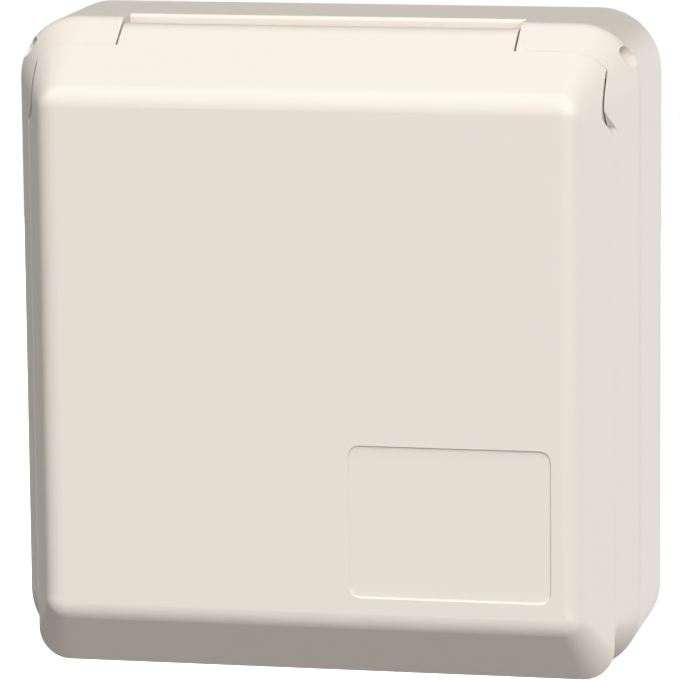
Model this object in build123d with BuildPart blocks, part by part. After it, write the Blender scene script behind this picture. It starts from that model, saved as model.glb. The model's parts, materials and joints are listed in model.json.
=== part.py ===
from build123d import *
from math import cos, radians, sin, tan
import os

# Panel mount socket: bevelled housing with a sprung lid over a round five contact insert.
# Millimetres. Z is up, the lid faces -Y and the panel lies in the plane Y = 0.
# A depth is counted from the panel towards the lid, so it is -Y.
os.makedirs("parts", exist_ok=True)

# Outer form of the housing
width = 98.0
height = 101.4
side_depth = 21.4
front_depth = 37.0
corner_radius = 9.7
front_corner_radius = 3.0
side_slope = 24.5
top_slope = 32.9
frame_wall = 2.5
frame_edge_depth = 27.5
frame_edge_round = 0.9
ridge_round = 3.0
deck_depth = 22.0
deck_thickness = 2.5

# Lid
lid_wall = 2.4
lid_rim_gap = 0.5
lip_slope = 47.0
lip_corner_radius = 5.0
lid_edge_round = 3.8
ear_gap = 0.25
label_width = 31.7
label_height = 24.0
label_x = 21.8
label_z = -25.0
label_radius = 1.8
label_recess = 0.4
label_draft = 30.0

# Hinge
hinge_depth = 21.7
hinge_drop = 5.0
knuckle_half = 31.1
knuckle_shift = -0.75
slit = 0.35
knuckle_gap = 0.4
pin_radius = 1.6
pin_fit = 0.02
pin_running = 0.05
pin_inner_end = 10.5
pin_end_inset = 4.6
ear_wall = 4.15
ear_top_wall = 3.4
ear_length = 15.2
ear_corner_radius = 3.0
ear_recess_radius = 1.2
ear_end_gap = 1.2
ear_step_margin = 1.0
ear_sweep_radius = 5.4
ear_sweep_gap = 0.2
recess_wall = 2.0
recess_top_radius = 1.0
trough_wall = 2.2
top_edge_round = 0.6

# Closing spring
spring_wire = 0.7
spring_full_turns = 5
spring_pitch = 0.9
spring_clearance = 0.4
spring_x = 21.2
spring_leg = 11.0
pocket_start_x = 14.0
pocket_end_x = 23.0
pocket_radius = 3.2
eyelet_width = 2.6
eyelet_length = 3.0
eyelet_wall = 0.9
eyelet_clearance = 0.1

# Fixing to the panel
fixing_inset_x = 11.0
fixing_inset_z = 15.7
fixing_hole_radius = 2.4
fixing_head_radius = 4.75
fixing_head_depth = 1.2
fixing_boss_radius = 6.3
gasket_width = 3.0
gasket_thickness = 1.6
gasket_inset = 4.5
rear_lip_inset = 9.0
rear_lip_depth = 3.2

# Plug collar
collar_radius = 32.0
collar_wall = 2.1
collar_gap = 0.3
collar_flange_radius = 38.5
collar_flange = 2.5
collar_screw_circle = 35.2
deck_ring_height = 4.0
spigot_length = 14.0
key_width = 7.2
key_depth = 2.9
key_wall = 1.8
key_back_depth = 2.0

# Contact insert
carrier_radius = 24.5
carrier_gap = 0.3
carrier_setback = 6.0
carrier_web = 3.3
base_flange_radius = 38.4
base_flange = 3.0
base_ring = 5.0
lug_radius = 3.2
lug_length = 12.0
seal_section = 2.0
seal_groove_depth = 1.2
contact_circle = 15.2
terminal_length = 18.0
terminal_radius = 24.8
terminal_back = 2.0
insert_edge = 1.0

# Contacts: bore for the plug pin, tube wall and terminal
line_bore = 2.55
earth_bore = 3.55
entry_clearance = 0.3
tube_wall = 1.05
terminal_wall = 0.75
chamber_gap = 0.15
bore_length = 38.7
finger_slit = 0.6
finger_length = 16.0
wire_bore = 2.1
wire_depth = 14.0
ring_width = 2.4
ring_thickness = 0.6
ring_setback = 3.0

# Screws
thread_radius = 1.25
screw_clear_radius = 1.6
screw_head_radius = 2.7
screw_head = 2.0
pilot_depth = 6.0
collar_screw_length = 7.5
carrier_screw_length = 8.0
base_screw_radius = 1.6
base_head_radius = 3.4
base_head = 2.4
base_screw_length = 28.0
clamp_screw_radius = 1.6
clamp_head_radius = 2.3
clamp_head = 2.6
drive_slot = 0.8
drive_slot_depth = 0.9

# Lid seal
seal_inner_radius = 28.4
seal_outer_radius = 33.5
seal_thickness = 2.3
seal_gap = 0.3
seal_rib = 1.4
seal_rib_height = 1.7
catch_width = 14.0
catch_height = 3.0
catch_thickness = 2.0
catch_z = 8.0

# Selecting edges that lie on a plane
edge_tolerance = 0.01

# Worked out from the sizes above
half_width = width / 2
half_height = height / 2
bevel_depth = front_depth - side_depth
lid_rim_depth = frame_edge_depth + lid_rim_gap
lid_inside_depth = front_depth - lid_wall
rim_depth = lid_inside_depth - seal_thickness - seal_gap
carrier_face_depth = rim_depth - carrier_setback
hinge_y = -hinge_depth
hinge_z = half_height - hinge_drop
pin_outer_end = half_width - pin_end_inset
ear_inner_x = half_width - ear_wall
ear_top_z = half_height - ear_top_wall
ear_low_z = half_height - ear_length
ridge_drop_y = side_depth - hinge_depth
slope_rise = tan(radians(top_slope))
knuckle_radius = hinge_drop * cos(radians(top_slope)) + ridge_drop_y * sin(radians(top_slope))
trough_radius = knuckle_radius + knuckle_gap
knuckle_ends = (knuckle_shift - knuckle_half, knuckle_shift + knuckle_half)
trough_half = knuckle_half + slit
ear_starts = (knuckle_shift - trough_half, knuckle_shift + trough_half)
lid_sweep_radius = ear_sweep_radius + ear_sweep_gap
collar_bore = collar_radius - collar_wall
deck_back_depth = deck_depth - deck_thickness
base_ring_radius = collar_bore - collar_gap
groove_radius = base_ring_radius - seal_groove_depth
groove_start = spigot_length - base_ring / 2 - seal_section / 2
groove_end = groove_start + seal_section
coil_radius = pin_radius + spring_clearance + spring_wire / 2
coil_turns = spring_full_turns + (270 - top_slope) / 360
coil_end_x = spring_x - spring_pitch * coil_turns
eyelet_radius = spring_wire / 2 + eyelet_clearance
eyelet_start = spring_leg - eyelet_length - spring_wire
slope_cos = cos(radians(top_slope))
slope_sin = sin(radians(top_slope))
flange_back_depth = deck_back_depth - collar_flange
chamber_start_depth = carrier_face_depth - carrier_web
insert_back = spigot_length + base_flange
terminal_end = insert_back + terminal_length
contact_end = terminal_end - terminal_back
clamp_y = contact_end - wire_depth / 2
beyond = 2 * height


def bevel_inset(depth):
    return depth - side_depth


def half_width_at(depth):
    return half_width - bevel_inset(depth) * tan(radians(side_slope))


def top_at(depth):
    return half_height - bevel_inset(depth) * slope_rise


def frame_low_at(depth):
    return bevel_inset(depth) * tan(radians(side_slope)) - half_height


def lip_low_at(depth):
    return (depth - lid_rim_depth) * tan(radians(lip_slope)) - half_height


def radius_at(depth, start_depth, start_radius):
    share = (depth - start_depth) / (front_depth - start_depth)
    return start_radius + (front_corner_radius - start_radius) * share


def outline(depth, half, top, low, top_radius, low_radius):
    """A rounded rectangle facing the lid, at one depth."""
    with BuildSketch(Plane.XZ.offset(depth)) as face:
        with Locations((0, (top + low) / 2)):
            Rectangle(2 * half, top - low)
        fillet(face.vertices().group_by(Axis.Y)[-1], top_radius)
        fillet(face.vertices().group_by(Axis.Y)[0], low_radius)
    return face.sketch


def side_profile(points, x=0):
    """A closed outline in a plane square to X."""
    with BuildSketch(Plane.YZ.offset(x)) as profile:
        with BuildLine():
            Polyline(*points, close=True)
        make_face()
    return profile.sketch


def round_plug(depth, length, radius, spots=((0, 0),), mode=Mode.ADD):
    """Round bars along Y that start at a depth and run towards the panel."""
    with BuildSketch(Plane.XZ.offset(depth)) as ends:
        with Locations(*spots):
            Circle(radius)
    extrude(ends.sketch, amount=-length, mode=mode)


def hinge_bar(start_x, end_x, radius, mode=Mode.ADD):
    """A round bar on the hinge axis between two places along X."""
    with BuildSketch(Plane.YZ.offset(start_x)) as end:
        with Locations((hinge_y, hinge_z)):
            Circle(radius)
    extrude(end.sketch, amount=end_x - start_x, mode=mode)


def slope_point(along, off):
    """Y and Z of a point measured from the hinge, down the top slope and square to it."""
    return (hinge_y - along * slope_cos - off * slope_sin, hinge_z - along * slope_sin + off * slope_cos)


def circle_spots(radius, angles):
    return [(radius * cos(radians(a)), radius * sin(radians(a))) for a in angles]


collar_screw_spots = circle_spots(collar_screw_circle, (45, 135, 225, 315))
carrier_screw_spots = circle_spots(collar_screw_circle, (0, 90, 180, 270))
contact_angles = {"earth": -90, "l1": -162, "l2": 126, "l3": 54, "n": -18}
line_names = ("l1", "l2", "l3", "n")
line_spots = circle_spots(contact_circle, [contact_angles[name] for name in line_names])
earth_spots = circle_spots(contact_circle, [contact_angles["earth"]])
fixing_x = half_width - fixing_inset_x
fixing_z = half_height - fixing_inset_z
fixing_spots = [(x * fixing_x, z * fixing_z) for x in (-1, 1) for z in (-1, 1)]

# Space that is cut from the front of the housing down to the deck
with BuildPart() as front_space:
    reach = beyond / 2
    lower_half = half_width_at(frame_edge_depth) - recess_wall
    lower_low = frame_low_at(frame_edge_depth) + recess_wall
    lower_radius = ear_corner_radius + recess_wall
    extrude(outline(deck_depth, lower_half, ear_low_z, lower_low, recess_top_radius, lower_radius), amount=reach)
    extrude(outline(deck_depth, ear_inner_x, ear_top_z, 0, ear_recess_radius, recess_top_radius), amount=reach)
    for start, side in zip(ear_starts, (-1, 1)):
        hinge_bar(start, side * half_width, ear_sweep_radius, Mode.SUBTRACT)

# Space that is cut from the back of the housing up to the deck
with BuildPart() as rear_space:
    inner_half = half_width - frame_wall
    inner_top = half_height - frame_wall
    inner_radius = corner_radius - frame_wall
    lip_half = half_width - rear_lip_inset
    lip_top = half_height - rear_lip_inset
    extrude(outline(0, lip_half, lip_top, -lip_top, ear_corner_radius, ear_corner_radius), amount=rear_lip_depth)
    back_face = outline(rear_lip_depth, inner_half, inner_top, -inner_top, inner_radius, inner_radius)
    extrude(back_face, amount=deck_back_depth - rear_lip_depth)
    trough_back = hinge_y + trough_radius + trough_wall
    trough_low = hinge_z - trough_radius - trough_wall
    trough_block = side_profile([(-deck_depth, trough_low), (trough_back, trough_low),
                                 (trough_back, half_height), (-deck_depth, half_height)], knuckle_shift)
    extrude(trough_block, amount=trough_half + trough_wall, both=True, mode=Mode.SUBTRACT)
    for start, side in zip(ear_starts, (-1, 1)):
        hinge_bar(start, side * half_width, ear_sweep_radius, Mode.SUBTRACT)
    round_plug(deck_depth, deck_depth, fixing_boss_radius, fixing_spots, Mode.SUBTRACT)

with BuildPart() as frame:
    extrude(outline(0, half_width, half_height, -half_height, corner_radius, corner_radius), amount=side_depth)
    ridge = outline(side_depth, half_width, half_height, -half_height, corner_radius, corner_radius)
    front = outline(front_depth, half_width_at(front_depth), top_at(front_depth), frame_low_at(front_depth),
                    front_corner_radius, front_corner_radius)
    loft([ridge, front], ruled=True)
    ridge_loop = frame.edges().filter_by_position(Axis.Y, -side_depth - edge_tolerance,
                                                  -side_depth + edge_tolerance)
    fillet(ridge_loop, ridge_round)
    # The walls end at one edge below the ears, whose lower ends slope at 45 degrees
    ear_rise = 2 * bevel_depth
    in_front = side_profile([(-frame_edge_depth, -beyond), (-frame_edge_depth, ear_low_z),
                             (-frame_edge_depth - ear_rise, ear_low_z + ear_rise),
                             (-frame_edge_depth - ear_rise, -beyond)])
    extrude(in_front, amount=width, both=True, mode=Mode.SUBTRACT)
    edge_loop = frame.edges().filter_by_position(Axis.Y, -frame_edge_depth - edge_tolerance,
                                                 -frame_edge_depth + edge_tolerance)
    fillet(edge_loop, frame_edge_round)
    add(front_space.part, mode=Mode.SUBTRACT)
    add(rear_space.part, mode=Mode.SUBTRACT)
    # Trough for the lid's knuckle, open to the front and above
    with BuildSketch(Plane.YZ.offset(knuckle_shift)):
        with Locations((hinge_y, hinge_z)):
            Circle(trough_radius)
        with Locations((hinge_y + trough_radius, hinge_z)):
            Rectangle(height, height, align=(Align.MAX, Align.MIN))
        with Locations((hinge_y, hinge_z - trough_radius)):
            Rectangle(height, height, align=(Align.MAX, Align.MIN))
    extrude(amount=trough_half, both=True, mode=Mode.SUBTRACT)
    trough_edge_y = hinge_y + trough_radius
    top_edge = (
        frame.edges()
        .filter_by(Axis.X)
        .filter_by_position(Axis.Z, half_height - edge_tolerance, half_height + edge_tolerance)
        .filter_by_position(Axis.Y, trough_edge_y - edge_tolerance, trough_edge_y + edge_tolerance)
    )
    fillet(top_edge, top_edge_round)
    # Raised ring round the collar, with room for its keyway
    ring_depth = deck_depth + deck_ring_height
    round_plug(ring_depth, deck_ring_height, collar_flange_radius)
    round_plug(ring_depth, deck_ring_height + deck_thickness, collar_radius + collar_gap, mode=Mode.SUBTRACT)
    key_half = key_width / 2 + key_wall + collar_gap
    key_reach = collar_bore + key_depth + key_wall + collar_gap
    with BuildSketch(Plane.XZ.offset(ring_depth)):
        Rectangle(2 * key_half, key_reach, align=(Align.CENTER, Align.MAX))
    extrude(amount=-deck_ring_height - deck_thickness, mode=Mode.SUBTRACT)
    round_plug(deck_back_depth + pilot_depth, pilot_depth, thread_radius, collar_screw_spots, Mode.SUBTRACT)
    # Holes for the screws that fix the socket to its panel
    with Locations(Plane.XZ.offset(deck_depth)):
        with Locations(*fixing_spots):
            CounterBoreHole(fixing_hole_radius, fixing_head_radius, fixing_head_depth, deck_depth)
    # Eyelet on the deck for the spring's other leg
    with BuildSketch(Plane.XY.offset(hinge_z - eyelet_start)):
        with Locations((spring_x, -deck_depth)):
            Rectangle(eyelet_width, hinge_depth + coil_radius + eyelet_radius + eyelet_wall - deck_depth,
                      align=(Align.CENTER, Align.MAX))
    extrude(amount=-eyelet_length)
    with BuildSketch(Plane.XY.offset(hinge_z)):
        with Locations((spring_x, hinge_y - coil_radius)):
            Circle(eyelet_radius)
    extrude(amount=-spring_leg - spring_wire, mode=Mode.SUBTRACT)
    # Bores for the hinge pins, open at the outside of each ear
    hinge_bar(-half_width, half_width, pin_radius + pin_fit, Mode.SUBTRACT)
    # Groove for the panel gasket
    gasket_half = half_width - gasket_inset
    gasket_top = half_height - gasket_inset
    with BuildSketch(Plane.XZ):
        RectangleRounded(2 * gasket_half, 2 * gasket_top, corner_radius - gasket_inset)
        RectangleRounded(2 * (gasket_half - gasket_width), 2 * (gasket_top - gasket_width),
                         front_corner_radius, mode=Mode.SUBTRACT)
    extrude(amount=gasket_thickness, mode=Mode.SUBTRACT)

frame.part.label = "frame"
export_step(frame.part, "parts/frame.step")

with BuildPart() as flange_gasket:
    with BuildSketch(Plane.XZ):
        RectangleRounded(2 * gasket_half, 2 * gasket_top, corner_radius - gasket_inset)
        RectangleRounded(2 * (gasket_half - gasket_width), 2 * (gasket_top - gasket_width),
                         front_corner_radius, mode=Mode.SUBTRACT)
    extrude(amount=gasket_thickness)

flange_gasket.part.label = "flange_gasket"
export_step(flange_gasket.part, "parts/flange_gasket.step")

with BuildPart() as lid_hollow:
    inside_side = lid_wall / cos(radians(side_slope))
    inside_top = lid_wall / cos(radians(top_slope))
    inside_lip = lid_wall / cos(radians(lip_slope))
    sections = [
        outline(depth, half_width_at(depth) - inside_side, top_at(depth) - inside_top,
                lip_low_at(depth) + inside_lip,
                radius_at(depth, side_depth, corner_radius) - lid_wall / 2,
                radius_at(depth, lid_rim_depth, lip_corner_radius) - lid_wall / 2)
        for depth in (side_depth, lid_inside_depth)
    ]
    loft(sections, ruled=True)

with BuildPart() as lid:
    sections = [
        outline(depth, half_width_at(depth), top_at(depth), lip_low_at(depth),
                radius_at(depth, side_depth, corner_radius),
                radius_at(depth, lid_rim_depth, lip_corner_radius))
        for depth in (side_depth, front_depth)
    ]
    loft(sections, ruled=True)
    fillet(lid.faces().sort_by(Axis.Y)[0].edges(), lid_edge_round)
    add(lid_hollow.part, mode=Mode.SUBTRACT)
    # The rim is flat up to the ears, and the knuckle reaches behind it
    rim_top = hinge_z - ear_sweep_radius / 2
    behind_rim = side_profile([(-lid_rim_depth, -beyond), (-lid_rim_depth, rim_top), (beyond, rim_top),
                               (beyond, -beyond)])
    extrude(behind_rim, amount=width, both=True, mode=Mode.SUBTRACT)
    # Beside the ears the lid is narrower, with the same 45 degree step
    step_low = ear_low_z - ear_end_gap
    for side in (-1, 1):
        with BuildSketch(Plane.YZ.offset(side * (ear_inner_x - ear_gap))):
            with BuildLine():
                Polyline((-lid_rim_depth + ear_step_margin, step_low - ear_step_margin),
                         (-lid_rim_depth - ear_rise, step_low + ear_rise), (-lid_rim_depth - ear_rise, beyond),
                         (0, beyond), (0, step_low - ear_step_margin), close=True)
            make_face()
        extrude(amount=side * width, mode=Mode.SUBTRACT)
    # Everything behind the line from the hinge square to the slope is the knuckle's
    behind_hinge = side_profile([(hinge_y, hinge_z),
                                 (hinge_y - width * slope_sin, hinge_z + width * slope_cos),
                                 (hinge_y + width, hinge_z + width * slope_cos),
                                 (hinge_y + width, hinge_z - width),
                                 (hinge_y, hinge_z - width)])
    extrude(behind_hinge, amount=width, both=True, mode=Mode.SUBTRACT)
    for end, side in zip(knuckle_ends, (-1, 1)):
        hinge_bar(end, side * width, lid_sweep_radius, Mode.SUBTRACT)
    hinge_bar(*knuckle_ends, knuckle_radius)
    # Seal seat: two ribs round the gasket, and the catch that holds a plug in
    for inner, outer in ((seal_inner_radius - seal_rib, seal_inner_radius),
                         (seal_outer_radius, seal_outer_radius + seal_rib)):
        with BuildSketch(Plane.XZ.offset(lid_inside_depth)):
            Circle(outer)
            Circle(inner, mode=Mode.SUBTRACT)
        extrude(amount=-seal_rib_height)
    with BuildSketch(Plane.XZ.offset(lid_inside_depth)):
        with Locations((0, catch_z)):
            Rectangle(catch_width, catch_thickness)
    extrude(amount=-catch_height)
    # Bore for the pins, and the pocket and groove for the spring
    hinge_bar(*knuckle_ends, pin_radius + pin_running, Mode.SUBTRACT)
    hinge_bar(pocket_start_x, pocket_end_x, pocket_radius, Mode.SUBTRACT)
    with BuildSketch(Plane.YZ.offset(pocket_start_x)):
        with Locations((hinge_y, hinge_z)):
            Rectangle(2 * pocket_radius, 2 * pocket_radius, align=(Align.CENTER, Align.MAX))
    extrude(amount=pocket_end_x - pocket_start_x, mode=Mode.SUBTRACT)
    # Eyelet under the slope for the spring's leg
    inner_slope = knuckle_radius - lid_wall
    eyelet_low = -coil_radius - eyelet_radius - eyelet_wall
    with BuildSketch(Plane.YZ.offset(coil_end_x - eyelet_width / 2)):
        with BuildLine():
            Polyline(slope_point(eyelet_start, eyelet_low), slope_point(eyelet_start, inner_slope + lid_wall / 4),
                     slope_point(eyelet_start + eyelet_length, inner_slope + lid_wall / 4),
                     slope_point(eyelet_start + eyelet_length, eyelet_low), close=True)
        make_face()
    extrude(amount=eyelet_width)
    leg_y, leg_z = slope_point(0, -coil_radius)
    with BuildSketch(Plane(origin=(coil_end_x, leg_y, leg_z), z_dir=(0, -slope_cos, -slope_sin))):
        Circle(eyelet_radius)
    extrude(amount=spring_leg + spring_wire, mode=Mode.SUBTRACT)
    # Shallow field for a label
    with BuildSketch(Plane.XZ.offset(front_depth)):
        with Locations((label_x, label_z)):
            RectangleRounded(label_width, label_height, label_radius)
    extrude(amount=-label_recess, taper=label_draft, mode=Mode.SUBTRACT)

lid.part.label = "lid"
export_step(lid.part, "parts/lid.step")

with BuildPart() as lid_gasket:
    with BuildSketch(Plane.XZ.offset(lid_inside_depth)):
        Circle(seal_outer_radius)
        Circle(seal_inner_radius, mode=Mode.SUBTRACT)
    extrude(amount=rim_depth + seal_gap - lid_inside_depth)

lid_gasket.part.label = "lid_gasket"
export_step(lid_gasket.part, "parts/lid_gasket.step")

for name, side in (("left", -1), ("right", 1)):
    with BuildPart() as hinge_pin:
        hinge_bar(side * pin_inner_end, side * pin_outer_end, pin_radius)
        chamfer(hinge_pin.edges().filter_by(GeomType.CIRCLE), pin_radius / 5)
    hinge_pin.part.label = "hinge_pin_" + name
    export_step(hinge_pin.part, "parts/hinge_pin_" + name + ".step")

coil_plane = Plane(origin=(spring_x, hinge_y, hinge_z), x_dir=(0, -1, 0), z_dir=(-1, 0, 0))
coil = coil_plane * Helix(spring_pitch, spring_pitch * coil_turns, coil_radius)

with BuildPart() as lid_spring:
    with BuildSketch(Plane(origin=coil @ 0, z_dir=coil % 0)):
        Circle(spring_wire / 2)
    sweep(path=coil, is_frenet=True)
    with BuildSketch(Plane(origin=coil @ 0, z_dir=(0, 0, -1))):
        Circle(spring_wire / 2)
    extrude(amount=spring_leg)
    with BuildSketch(Plane(origin=coil @ 1, z_dir=(0, -slope_cos, -slope_sin))):
        Circle(spring_wire / 2)
    extrude(amount=spring_leg)

lid_spring.part.label = "lid_spring"
export_step(lid_spring.part, "parts/lid_spring.step")

with BuildPart() as socket_collar:
    with BuildSketch(Plane.XY):
        with BuildLine():
            Polyline((collar_bore, -rim_depth), (collar_radius, -rim_depth),
                     (collar_radius, -deck_back_depth), (collar_flange_radius, -deck_back_depth),
                     (collar_flange_radius, -flange_back_depth), (collar_radius, -flange_back_depth),
                     (collar_radius, spigot_length), (collar_bore, spigot_length), close=True)
        make_face()
    revolve(axis=Axis.Y)
    # Lugs at the back for the screws that hold the insert
    with BuildSketch(Plane.XZ.offset(-spigot_length)):
        with PolarLocations(collar_screw_circle, len(carrier_screw_spots)):
            Circle(lug_radius)
        with PolarLocations(collar_bore, len(carrier_screw_spots)):
            Rectangle(collar_screw_circle - collar_bore, 2 * lug_radius, align=(Align.MIN, Align.CENTER))
        Circle(collar_bore, mode=Mode.SUBTRACT)
    extrude(amount=lug_length)
    # Keyway below the bore, in a thickened wall that ends in front of the panel
    with BuildSketch(Plane.XZ.offset(rim_depth)):
        with Locations((0, -collar_bore - key_depth - key_wall)):
            Rectangle(key_width + 2 * key_wall, collar_wall + key_depth + key_wall, align=(Align.CENTER, Align.MIN))
        Circle(collar_bore, mode=Mode.SUBTRACT)
    extrude(amount=key_back_depth - rim_depth)
    with BuildSketch(Plane.XZ.offset(rim_depth)):
        with Locations((0, -collar_bore - key_depth)):
            Rectangle(key_width, key_depth + collar_wall, align=(Align.CENTER, Align.MIN))
    extrude(amount=2 * key_back_depth - rim_depth, mode=Mode.SUBTRACT)
    round_plug(deck_back_depth, collar_flange, screw_clear_radius, collar_screw_spots, Mode.SUBTRACT)
    round_plug(pilot_depth - spigot_length, pilot_depth, thread_radius, carrier_screw_spots, Mode.SUBTRACT)

socket_collar.part.label = "socket_collar"
export_step(socket_collar.part, "parts/socket_collar.step")


def pan_screws(seat_y, length, spots):
    """Screws that go in towards the lid, with their heads on a seat and a slot across each head."""
    round_plug(length - seat_y, length, thread_radius, spots)
    round_plug(-seat_y, screw_head, screw_head_radius, spots)
    with BuildSketch(Plane.XZ.offset(-seat_y - screw_head)) as slots:
        with Locations(*spots):
            Rectangle(2 * screw_head_radius, drive_slot)
    extrude(slots.sketch, amount=drive_slot_depth, mode=Mode.SUBTRACT)


with BuildPart() as collar_screws:
    pan_screws(-flange_back_depth, collar_screw_length, collar_screw_spots)

collar_screws.part.label = "collar_screws"
export_step(collar_screws.part, "parts/collar_screws.step")

with BuildPart() as contact_carrier:
    round_plug(carrier_face_depth, carrier_face_depth + spigot_length, carrier_radius)
    front_rim = contact_carrier.faces().sort_by(Axis.Y)[0].edges()
    fillet(front_rim, insert_edge)
    for bore, spots in ((line_bore, line_spots), (earth_bore, earth_spots)):
        chamber = bore + tube_wall + terminal_wall + chamber_gap
        round_plug(carrier_face_depth, carrier_web, bore + entry_clearance, spots, Mode.SUBTRACT)
        round_plug(chamber_start_depth, chamber_start_depth + spigot_length, chamber, spots, Mode.SUBTRACT)
    base_pilot = base_screw_length - terminal_length - base_flange + base_head
    round_plug(base_pilot - spigot_length, base_pilot, base_screw_radius, mode=Mode.SUBTRACT)

contact_carrier.part.label = "contact_carrier"
export_step(contact_carrier.part, "parts/contact_carrier.step")

with BuildPart() as insert_seal:
    with BuildSketch(Plane.XY):
        with Locations((groove_radius, groove_start)):
            Rectangle(collar_bore - groove_radius, seal_section, align=(Align.MIN, Align.MIN))
    revolve(axis=Axis.Y)

insert_seal.part.label = "insert_seal"
export_step(insert_seal.part, "parts/insert_seal.step")

with BuildPart() as carrier_screws:
    pan_screws(insert_back, carrier_screw_length, carrier_screw_spots)

carrier_screws.part.label = "carrier_screws"
export_step(carrier_screws.part, "parts/carrier_screws.step")


def contact(name, bore):
    """A slotted brass sleeve for one plug pin, with a pillar terminal behind."""
    x, z = circle_spots(contact_circle, [contact_angles[name]])[0]
    tube = bore + tube_wall
    block = tube + terminal_wall
    with BuildPart() as sleeve:
        round_plug(chamber_start_depth, chamber_start_depth + contact_end, tube, [(x, z)])
        round_plug(-spigot_length, contact_end - spigot_length, block, [(x, z)])
        round_plug(chamber_start_depth, bore_length, bore, [(x, z)], Mode.SUBTRACT)
        round_plug(wire_depth - contact_end, wire_depth, wire_bore, [(x, z)], Mode.SUBTRACT)
        with BuildSketch(Plane.XZ.offset(chamber_start_depth)):
            with Locations((x, z)):
                Rectangle(finger_slit, 3 * tube)
                Rectangle(3 * tube, finger_slit)
        extrude(amount=-finger_length, mode=Mode.SUBTRACT)
        turn = contact_angles[name]
        axis_plane = Plane(origin=(x, clamp_y, z), x_dir=(0, 1, 0),
                           z_dir=(cos(radians(turn)), 0, sin(radians(turn))))
        with BuildSketch(axis_plane):
            Circle(clamp_screw_radius)
        extrude(amount=2 * block, mode=Mode.SUBTRACT)
    sleeve.part.label = "contact_" + name
    export_step(sleeve.part, "parts/contact_" + name + ".step")


for name in line_names:
    contact(name, line_bore)
contact("earth", earth_bore)

for name, bore, spots in (("line_contact_rings", line_bore, line_spots),
                          ("earth_contact_ring", earth_bore, earth_spots)):
    with BuildPart() as rings:
        tube = bore + tube_wall
        round_plug(chamber_start_depth - ring_setback, ring_width, tube + ring_thickness, spots)
        round_plug(chamber_start_depth - ring_setback, ring_width, tube, spots, Mode.SUBTRACT)
    rings.part.label = name
    export_step(rings.part, "parts/" + name + ".step")

with BuildPart() as terminal_base:
    ring_start = spigot_length - base_ring
    with BuildSketch(Plane.XY):
        with BuildLine():
            Polyline((0, spigot_length), (carrier_radius + carrier_gap, spigot_length),
                     (carrier_radius + carrier_gap, ring_start), (base_ring_radius, ring_start),
                     (base_ring_radius, groove_start), (groove_radius, groove_start),
                     (groove_radius, groove_end), (base_ring_radius, groove_end),
                     (base_ring_radius, spigot_length), (base_flange_radius, spigot_length),
                     (base_flange_radius, insert_back), (terminal_radius, insert_back),
                     (terminal_radius, terminal_end), (0, terminal_end), close=True)
        make_face()
    revolve(axis=Axis.Y)
    chamfer(terminal_base.faces().sort_by(Axis.Y)[-1].edges(), insert_edge)
    round_plug(-spigot_length, base_flange, screw_clear_radius, carrier_screw_spots, Mode.SUBTRACT)
    for bore, names in ((line_bore, line_names), (earth_bore, ("earth",))):
        chamber = bore + tube_wall + terminal_wall + chamber_gap
        spots = circle_spots(contact_circle, [contact_angles[name] for name in names])
        round_plug(-spigot_length, contact_end - spigot_length, chamber, spots, Mode.SUBTRACT)
        round_plug(-contact_end, terminal_back, wire_bore + entry_clearance, spots, Mode.SUBTRACT)
        for name in names:
            turn = contact_angles[name]
            with BuildSketch(Plane(origin=(0, clamp_y, 0), x_dir=(0, 1, 0),
                                   z_dir=(cos(radians(turn)), 0, sin(radians(turn)))).offset(contact_circle)):
                Circle(clamp_head_radius + entry_clearance)
            extrude(amount=terminal_radius, mode=Mode.SUBTRACT)
    round_plug(-spigot_length, terminal_end - spigot_length, base_screw_radius + entry_clearance,
               mode=Mode.SUBTRACT)
    round_plug(base_head - terminal_end, base_head, base_head_radius + entry_clearance, mode=Mode.SUBTRACT)

terminal_base.part.label = "terminal_base"
export_step(terminal_base.part, "parts/terminal_base.step")

with BuildPart() as base_screw:
    round_plug(base_head - terminal_end + base_screw_length, base_screw_length, base_screw_radius)
    round_plug(base_head - terminal_end, base_head, base_head_radius)
    with BuildSketch(Plane.XZ.offset(-terminal_end)):
        Rectangle(2 * base_head_radius, drive_slot)
    extrude(amount=drive_slot_depth, mode=Mode.SUBTRACT)

base_screw.part.label = "base_screw"
export_step(base_screw.part, "parts/base_screw.step")

with BuildPart() as terminal_screws:
    for name, turn in contact_angles.items():
        bore = earth_bore if name == "earth" else line_bore
        block = bore + tube_wall + terminal_wall
        screw_plane = Plane(origin=(0, clamp_y, 0), x_dir=(0, 1, 0),
                            z_dir=(cos(radians(turn)), 0, sin(radians(turn))))
        seat = contact_circle + block
        with BuildSketch(screw_plane.offset(contact_circle + wire_bore)):
            Circle(clamp_screw_radius)
        extrude(amount=block - wire_bore)
        with BuildSketch(screw_plane.offset(seat)):
            Circle(clamp_head_radius)
        extrude(amount=clamp_head)
        with BuildSketch(screw_plane.offset(seat + clamp_head)):
            Rectangle(drive_slot, 2 * clamp_head_radius)
        extrude(amount=-drive_slot_depth, mode=Mode.SUBTRACT)

terminal_screws.part.label = "terminal_screws"
export_step(terminal_screws.part, "parts/terminal_screws.step")
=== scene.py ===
import json
import math

import bpy
from mathutils import Matrix, Vector


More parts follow.
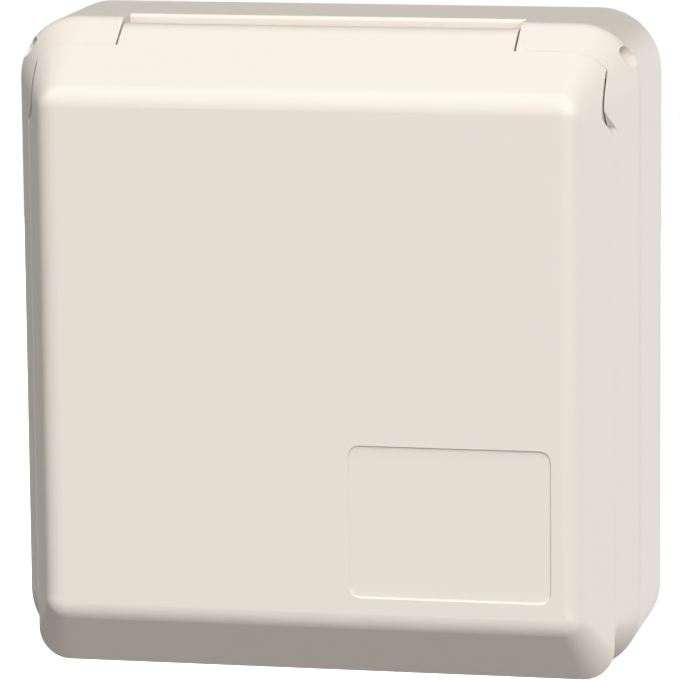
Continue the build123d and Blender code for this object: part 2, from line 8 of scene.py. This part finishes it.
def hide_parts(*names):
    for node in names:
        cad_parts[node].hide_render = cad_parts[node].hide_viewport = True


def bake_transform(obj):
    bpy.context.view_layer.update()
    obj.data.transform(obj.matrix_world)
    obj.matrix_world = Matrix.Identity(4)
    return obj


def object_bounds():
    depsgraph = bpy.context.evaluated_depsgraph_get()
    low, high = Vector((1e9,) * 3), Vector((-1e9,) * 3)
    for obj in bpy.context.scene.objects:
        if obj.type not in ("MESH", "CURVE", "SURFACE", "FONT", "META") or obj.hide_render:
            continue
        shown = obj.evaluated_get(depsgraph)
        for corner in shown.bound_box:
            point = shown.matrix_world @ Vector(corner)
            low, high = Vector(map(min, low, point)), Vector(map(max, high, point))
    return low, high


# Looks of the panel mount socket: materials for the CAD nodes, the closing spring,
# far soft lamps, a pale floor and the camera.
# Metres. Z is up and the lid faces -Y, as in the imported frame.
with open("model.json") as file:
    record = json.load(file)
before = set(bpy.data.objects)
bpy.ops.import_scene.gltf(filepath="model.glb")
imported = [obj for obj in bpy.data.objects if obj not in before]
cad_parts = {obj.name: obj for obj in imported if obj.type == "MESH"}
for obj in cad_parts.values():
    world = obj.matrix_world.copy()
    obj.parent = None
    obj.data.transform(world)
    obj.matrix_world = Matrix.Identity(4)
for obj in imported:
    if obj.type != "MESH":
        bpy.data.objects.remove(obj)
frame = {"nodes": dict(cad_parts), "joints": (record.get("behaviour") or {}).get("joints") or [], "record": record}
cad_low, cad_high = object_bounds()
hinge = Vector(frame["joints"][0]["pos_m"])

# Camera, fitted to the edges of the photograph. Angles in degrees.
CAMERA_AZIMUTH = 12.076
CAMERA_ELEVATION = 10.220
CAMERA_ROLL = -0.576
CAMERA_DISTANCE = 0.81976
CAMERA_TARGET = Vector((0, -0.020, 0))
CAMERA_RIGHT = 0.001346
CAMERA_UP = 0.000199
FOCAL_PIXELS = 5245.6
PHOTO_PIXELS = 680
SENSOR_MM = 36.0

# Floor, far enough down that a camera that looks up from under the socket is still above it
FLOOR_DROP = 0.9
FLOOR_SIZE = 12.0
FLOOR_GREY = (0.9, 0.9, 0.9)
FLOOR_ROUGHNESS = 0.9
WHITE = (1.0, 1.0, 1.0)

# How wide each far lamp looks from the object, in degrees
LIGHT_SPREAD = 40.0
# Name, azimuth and elevation in degrees, and strength in watts per square metre
LIGHTS = (
    ("front", 12, 10, 1.253),
    ("upper_right_front", 30, 35, 1.873),
    ("upper_left", -60, 40, 1.171),
    ("top", 0, 85, 0.817),
    ("low_right_front", 50, -45, 0.450),
    ("low_right", 100, -25, 0.176),
    ("right", 120, -5, 0.771),
    ("right_back", 165, -10, 0.632),
    ("left_back", -155, -5, 0.200),
)

# Closing spring, a coil on the hinge axis with one leg in the housing's eyelet and one in the lid's
WIRE_RADIUS = 0.00035
WIRE_RESOLUTION = 4
COIL_RADIUS = 0.00235
COIL_START_X = 0.0212
COIL_PITCH = 0.0009
COIL_FULL_TURNS = 5
LEG_LENGTH = 0.011
TOP_SLOPE = 32.9
STEPS_PER_TURN = 36

# Colours, linear
CREAM = (0.760, 0.700, 0.625)
INSERT_BLACK = (0.020, 0.020, 0.022)
BRASS = (0.72, 0.50, 0.20)
ZINC = (0.60, 0.60, 0.58)
STEEL = (0.48, 0.48, 0.48)
RUBBER = (0.018, 0.018, 0.018)

# Surfaces. A tint is the darkest and the lightest share of the colour, and how fine its patches are.
PLASTIC_IOR = 1.5
PLASTIC_TINT = (0.985, 1.015, 18.0)
METAL_TINT = (0.9, 1.08, 160.0)
RUBBER_TINT = (0.8, 1.3, 90.0)
METAL_GRAIN_STRENGTH = 0.25
RUBBER_GRAIN_STRENGTH = 0.3
RUBBER_GRAIN_SCALE = 2500.0
RUBBER_ROUGHNESS = 0.75
GRAIN_DEPTH = 0.00002
RUBBER_GRAIN_DEPTH = 0.00003


def new_material(name, roughness):
    """A plain material of that roughness, with its node tree and shader."""
    material = bpy.data.materials.new(name)
    material.use_nodes = True
    tree = material.node_tree
    shader = tree.nodes["Principled BSDF"]
    shader.inputs["Roughness"].default_value = roughness
    return material, tree, shader


def add_noise(tree, coords, scale):
    """A noise texture in the object's own space."""
    noise = tree.nodes.new("ShaderNodeTexNoise")
    noise.inputs["Scale"].default_value = scale
    tree.links.new(coords.outputs["Object"], noise.inputs["Vector"])
    return noise


def add_grain(tree, shader, coords, scale, strength, depth):
    """Fine relief of the surface."""
    noise = add_noise(tree, coords, scale)
    bump = tree.nodes.new("ShaderNodeBump")
    bump.inputs["Strength"].default_value = strength
    bump.inputs["Distance"].default_value = depth
    tree.links.new(noise.outputs["Fac"], bump.inputs["Height"])
    tree.links.new(bump.outputs["Normal"], shader.inputs["Normal"])


def add_tint(tree, shader, coords, colour, tint):
    """Slow, slight change of colour over the surface."""
    darkest, lightest, scale = tint
    noise = add_noise(tree, coords, scale)
    ramp = tree.nodes.new("ShaderNodeValToRGB")
    ramp.color_ramp.elements[0].color = (*shade(colour, darkest), 1)
    ramp.color_ramp.elements[1].color = (*shade(colour, lightest), 1)
    tree.links.new(noise.outputs["Fac"], ramp.inputs["Fac"])
    tree.links.new(ramp.outputs["Color"], shader.inputs["Base Color"])


def shade(colour, amount):
    """The colour made darker or lighter."""
    return tuple(min(1.0, channel * amount) for channel in colour)


def surface(name, colour, tint, roughness, grain_scale, grain_strength, grain_depth=GRAIN_DEPTH):
    """A material with a tinted colour and a fine grain, and its shader."""
    material, tree, shader = new_material(name, roughness)
    coords = tree.nodes.new("ShaderNodeTexCoord")
    add_grain(tree, shader, coords, grain_scale, grain_strength, grain_depth)
    add_tint(tree, shader, coords, colour, tint)
    return material, shader


def moulded_plastic(name, colour, roughness, grain_scale, grain_strength):
    material, shader = surface(name, colour, PLASTIC_TINT, roughness, grain_scale, grain_strength)
    shader.inputs["IOR"].default_value = PLASTIC_IOR
    return material


def metal(name, colour, roughness, grain_scale):
    material, shader = surface(name, colour, METAL_TINT, roughness, grain_scale, METAL_GRAIN_STRENGTH)
    shader.inputs["Metallic"].default_value = 1.0
    return material


def rubber(name, colour):
    material, _ = surface(name, colour, RUBBER_TINT, RUBBER_ROUGHNESS,
                          RUBBER_GRAIN_SCALE, RUBBER_GRAIN_STRENGTH, RUBBER_GRAIN_DEPTH)
    return material


def dress_nodes():
    """Every CAD node gets the procedural material of its slot."""
    finishes = {
        "housing_plastic": moulded_plastic("cream_plastic", CREAM, roughness=0.42,
                                           grain_scale=1400.0, grain_strength=0.10),
        "insert_plastic": moulded_plastic("black_plastic", INSERT_BLACK, roughness=0.5,
                                          grain_scale=1800.0, grain_strength=0.15),
        "contact_brass": metal("turned_brass", BRASS, roughness=0.28, grain_scale=900.0),
        "pin_steel": metal("drawn_steel", STEEL, roughness=0.32, grain_scale=1200.0),
        "screw_steel": metal("zinc_plate", ZINC, roughness=0.36, grain_scale=1500.0),
        "spring_steel": metal("spring_wire", STEEL, roughness=0.30, grain_scale=1200.0),
        "seal_rubber": rubber("black_rubber", RUBBER),
    }
    for part in frame["record"]["subparts"]:
        node = frame["nodes"][part["node"]]
        node.data.materials.clear()
        node.data.materials.append(finishes[part["material_slot"]])
    return finishes


def spring_path():
    """The wire's middle line: up the housing's leg, round the coil and down the lid's leg."""
    # After its full turns the coil goes on until the wire heads down the lid's slope
    turns = COIL_FULL_TURNS + (270 - TOP_SLOPE) / 360
    steps = round(turns * STEPS_PER_TURN)
    coil = []
    for step in range(steps + 1):
        turn = turns * step / steps
        angle = math.tau * turn
        coil.append(Vector((COIL_START_X - COIL_PITCH * turn,
                            hinge.y - COIL_RADIUS * math.cos(angle),
                            hinge.z + COIL_RADIUS * math.sin(angle))))
    slope = math.radians(TOP_SLOPE)
    down_slope = Vector((0, -math.cos(slope), -math.sin(slope)))
    return [coil[0] - LEG_LENGTH * Vector((0, 0, 1)), *coil, coil[-1] + LEG_LENGTH * down_slope]


def wire_mesh(path):
    """Round wire with flat ends along a path."""
    curve = bpy.data.curves.new("spring_line", "CURVE")
    curve.dimensions = "3D"
    curve.bevel_depth = WIRE_RADIUS
    curve.bevel_resolution = WIRE_RESOLUTION
    curve.use_fill_caps = True
    line = curve.splines.new("POLY")
    line.points.add(len(path) - 1)
    for point, place in zip(line.points, path):
        point.co = (*place, 1)
    holder = bpy.data.objects.new("spring_line", curve)
    bpy.context.scene.collection.objects.link(holder)
    bpy.context.view_layer.update()
    mesh = bpy.data.meshes.new_from_object(holder.evaluated_get(bpy.context.evaluated_depsgraph_get()))
    bpy.data.objects.remove(holder)
    bpy.data.curves.remove(curve)
    # The wire's wall has four-sided faces, and its ends have more sides
    for face in mesh.polygons:
        face.use_smooth = len(face.vertices) == 4
    return mesh


def add_spring(finish):
    """The closing spring, a fixed wire coiled round the hinge axis in place of the CAD node's spring, which is
    hidden.
    """
    path = spring_path()
    mesh = wire_mesh(path)
    mesh.materials.clear()
    mesh.materials.append(finish)
    spring = bpy.data.objects.new("wound_spring", mesh)
    bpy.context.scene.collection.objects.link(spring)
    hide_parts("lid_spring")
    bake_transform(spring)


def unit(azimuth, elevation):
    """The direction from the object towards a viewer, in degrees as for the camera."""
    a = math.radians(azimuth)
    e = math.radians(elevation)
    return Vector((math.sin(a) * math.cos(e), -math.cos(a) * math.cos(e), math.sin(e)))


def add_camera():
    """The photograph's view: a camera turned about its target, rolled, then shifted in its own plane."""
    back = unit(CAMERA_AZIMUTH, CAMERA_ELEVATION)
    level = Vector((math.cos(math.radians(CAMERA_AZIMUTH)), math.sin(math.radians(CAMERA_AZIMUTH)), 0))
    upright = back.cross(level)
    roll = math.radians(CAMERA_ROLL)
    right = math.cos(roll) * level + math.sin(roll) * upright
    up = math.cos(roll) * upright - math.sin(roll) * level
    data = bpy.data.cameras.new("camera")
    data.sensor_width = SENSOR_MM
    data.lens = FOCAL_PIXELS / PHOTO_PIXELS * SENSOR_MM
    camera = bpy.data.objects.new("camera", data)
    turn = Matrix((right, up, back)).transposed().to_4x4()
    place = CAMERA_TARGET + CAMERA_DISTANCE * back + CAMERA_RIGHT * right + CAMERA_UP * up
    camera.matrix_world = Matrix.Translation(place) @ turn
    bpy.context.scene.collection.objects.link(camera)
    bpy.context.scene.camera = camera


def add_light():
    """Wide soft lamps far away all round the object, so that each flat face has one even tone."""
    for name, azimuth, elevation, strength in LIGHTS:
        data = bpy.data.lights.new(name, "SUN")
        data.angle = math.radians(LIGHT_SPREAD)
        data.energy = strength
        light = bpy.data.objects.new(name, data)
        light.rotation_euler = unit(azimuth, elevation).to_track_quat("Z", "Y").to_euler()
        bpy.context.scene.collection.objects.link(light)


def add_world():
    """White behind the object. The lamps alone light it."""
    world = bpy.data.worlds.new("studio")
    bpy.context.scene.world = world
    world.use_nodes = True
    background = world.node_tree.nodes["Background"]
    background.inputs["Color"].default_value = (*WHITE, 1)
    world.cycles_visibility.diffuse = False
    world.cycles_visibility.glossy = False


def add_floor():
    """A pale plane that throws no light or shadow on the object."""
    level = cad_low.z - FLOOR_DROP
    half = FLOOR_SIZE / 2
    corners = [(-half, -half, level), (half, -half, level), (half, half, level), (-half, half, level)]
    mesh = bpy.data.meshes.new("floor")
    mesh.from_pydata(corners, [], [(0, 1, 2, 3)])
    material, _, shader = new_material("pale_floor", FLOOR_ROUGHNESS)
    shader.inputs["Base Color"].default_value = (*FLOOR_GREY, 1)
    shader.inputs["Emission Color"].default_value = (*WHITE, 1)
    shader.inputs["Emission Strength"].default_value = 1.0
    mesh.materials.append(material)
    floor = bpy.data.objects.new("floor", mesh)
    # The low lamps shine through the floor
    floor.visible_diffuse = False
    floor.visible_glossy = False
    floor.visible_shadow = False
    bpy.context.scene.collection.objects.link(floor)


bpy.context.scene.view_settings.view_transform = "Standard"
add_camera()
finishes = dress_nodes()
add_spring(finishes["spring_steel"])
add_light()
add_world()
add_floor()
